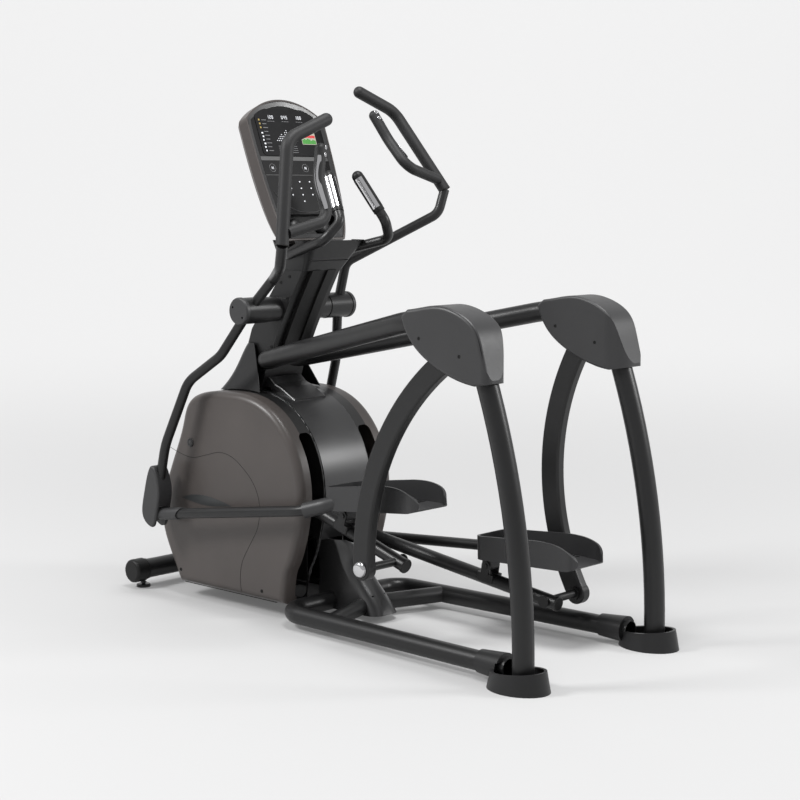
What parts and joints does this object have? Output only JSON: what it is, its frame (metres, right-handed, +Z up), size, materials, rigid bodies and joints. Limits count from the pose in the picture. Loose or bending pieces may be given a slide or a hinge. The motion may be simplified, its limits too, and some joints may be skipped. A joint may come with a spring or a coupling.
{
  "type": "elliptical trainer",
  "caption": "Suspension elliptical trainer with hanging swing arms, pedals on suspended links, moving and fixed handlebars, a console and an enclosed flywheel drive.",
  "frame": {"origin": "on the floor, under the middle of the bounding box", "axes": "+X to the user's rear end, -Y the user's left side, +Z up"},
  "size_m": [1.873, 0.9122, 1.6907],
  "materials": {
    "frame_paint": "satin",
    "cover_plastic": "satin",
    "black_plastic": "matte",
    "shell_plastic": "satin",
    "gloss_black": "gloss",
    "foam": "matte",
    "chrome": "polished",
    "steel": "satin",
    "iron": "satin",
    "lens": "gloss",
    "belt_rubber": "matte"
  },
  "bodies": {
    "frame": {"front_stabilizer": "frame_paint", "stabilizer_caps": "black_plastic", "levelling_feet": "steel", "left_base_rail": "frame_paint", "right_base_rail": "frame_paint", "chassis": "frame_paint", "left_boot": "cover_plastic", "right_boot": "cover_plastic", "left_arch_tube": "frame_paint", "right_arch_tube": "frame_paint", "left_corner_cover": "cover_plastic", "right_corner_cover": "cover_plastic", "swing_pivot_shafts": "steel", "mast_column": "frame_paint", "mast_rear_cover": "black_plastic", "pivot_housing": "frame_paint", "handlebar_axle": "steel", "console_back": "shell_plastic", "console_face": "gloss_black", "console_screen": "lens", "console_tray": "cover_plastic", "fixed_handle": "frame_paint", "pulse_grips": "black_plastic", "pulse_plates": "chrome", "left_side_shell": "shell_plastic", "right_side_shell": "shell_plastic", "centre_shroud": "gloss_black", "shroud_tail": "cover_plastic", "neck_cover": "cover_plastic", "drive_belt": "belt_rubber", "drive_bearings": "steel", "brake_magnet": "black_plastic", "frame_screws": "steel"},
    "left_arm": {"left_swing_arm": "frame_paint", "left_lower_shaft": "chrome"},
    "left_link": {"left_main_link": "frame_paint"},
    "left_pedal": {"left_pedal_tray": "cover_plastic", "left_pedal_tube": "frame_paint"},
    "left_bar": {"left_handlebar": "frame_paint", "left_grip": "foam", "left_joint_shell": "cover_plastic", "left_hub_cap": "cover_plastic"},
    "left_upper_press": {"left_upper_button": "chrome"},
    "left_lower_press": {"left_lower_button": "chrome"},
    "right_arm": {"right_swing_arm": "frame_paint", "right_lower_shaft": "chrome"},
    "right_link": {"right_main_link": "frame_paint"},
    "right_pedal": {"right_pedal_tray": "cover_plastic", "right_pedal_tube": "frame_paint"},
    "right_bar": {"right_handlebar": "frame_paint", "right_grip": "foam", "right_joint_shell": "cover_plastic", "right_hub_cap": "cover_plastic"},
    "right_upper_press": {"right_upper_button": "chrome"},
    "right_lower_press": {"right_lower_button": "chrome"},
    "crank": {"crank_axle": "steel", "crank_pulley": "cover_plastic", "crank_arms": "frame_paint"},
    "wheel": {"flywheel": "iron"}
  },
  "joints": [
    {"name": "left_stride", "type": "hinge", "parent": "frame", "child": "left_arm", "pos_m": [0.62, -0.275, 0.925], "axis": [0, -1, 0], "range_deg": [0, 28.5]},
    {"name": "left_link_pivot", "type": "hinge", "parent": "left_arm", "child": "left_link", "pos_m": [0.2235, -0.13, 0.23824], "axis": [0, -1, 0], "range_deg": [-18.41, 0]},
    {"name": "left_pedal_pivot", "type": "hinge", "parent": "left_link", "child": "left_pedal", "pos_m": [0.01381, -0.13, 0.35348], "axis": [0, -1, 0], "range_deg": [-13.66, 0]},
    {"name": "left_bar_pivot", "type": "hinge", "parent": "frame", "child": "left_bar", "pos_m": [-0.357, -0.199, 0.974], "axis": [0, -1, 0], "range_deg": [0, 26.96]},
    {"name": "right_stride", "type": "hinge", "parent": "frame", "child": "right_arm", "pos_m": [0.62, 0.275, 0.925], "axis": [0, -1, 0], "range_deg": [-28.51, 0]},
    {"name": "right_link_pivot", "type": "hinge", "parent": "right_arm", "child": "right_link", "pos_m": [0.59924, 0.13, 0.13227], "axis": [0, -1, 0], "range_deg": [0, 18.41]},
    {"name": "right_pedal_pivot", "type": "hinge", "parent": "right_link", "child": "right_pedal", "pos_m": [0.37259, 0.13, 0.20895], "axis": [0, -1, 0], "range_deg": [0, 13.66]},
    {"name": "right_bar_pivot", "type": "hinge", "parent": "frame", "child": "right_bar", "pos_m": [-0.357, 0.199, 0.974], "axis": [0, -1, 0], "range_deg": [-26.96, 0]},
    {"name": "left_upper_button_press", "type": "slide", "parent": "left_bar", "child": "left_upper_press", "axis": [-0.961, -0.2756, -0.0252], "range_m": [0, 0.001], "stiffness_N_per_m": 400},
    {"name": "left_lower_button_press", "type": "slide", "parent": "left_bar", "child": "left_lower_press", "axis": [-0.961, -0.2756, -0.0252], "range_m": [0, 0.001], "stiffness_N_per_m": 400},
    {"name": "right_upper_button_press", "type": "slide", "parent": "right_bar", "child": "right_upper_press", "axis": [-0.8452, 0.2756, -0.458], "range_m": [0, 0.001], "stiffness_N_per_m": 400},
    {"name": "right_lower_button_press", "type": "slide", "parent": "right_bar", "child": "right_lower_press", "axis": [-0.8452, 0.2756, -0.458], "range_m": [0, 0.001], "stiffness_N_per_m": 400},
    {"name": "crank_turn", "type": "hinge", "parent": "frame", "child": "crank", "pos_m": [-0.438, 0, 0.379], "axis": [0, -1, 0], "continuous": true},
    {"name": "flywheel_turn", "type": "hinge", "parent": "frame", "child": "wheel", "pos_m": [-0.655, 0, 0.3], "axis": [0, -1, 0], "continuous": true}
  ],
  "couplings": [
    {"joint": "right_stride", "follows": "left_stride", "ratio": -1},
    {"joint": "left_link_pivot", "follows": "left_stride", "ratio": -0.64561},
    {"joint": "left_pedal_pivot", "follows": "left_stride", "ratio": -0.47895},
    {"joint": "left_bar_pivot", "follows": "left_stride", "ratio": 0.94561},
    {"joint": "right_link_pivot", "follows": "left_stride", "ratio": 0.64561},
    {"joint": "right_pedal_pivot", "follows": "left_stride", "ratio": 0.47895},
    {"joint": "right_bar_pivot", "follows": "left_stride", "ratio": -0.94561},
    {"joint": "crank_turn", "follows": "flywheel_turn", "ratio": 0.125}
  ]
}
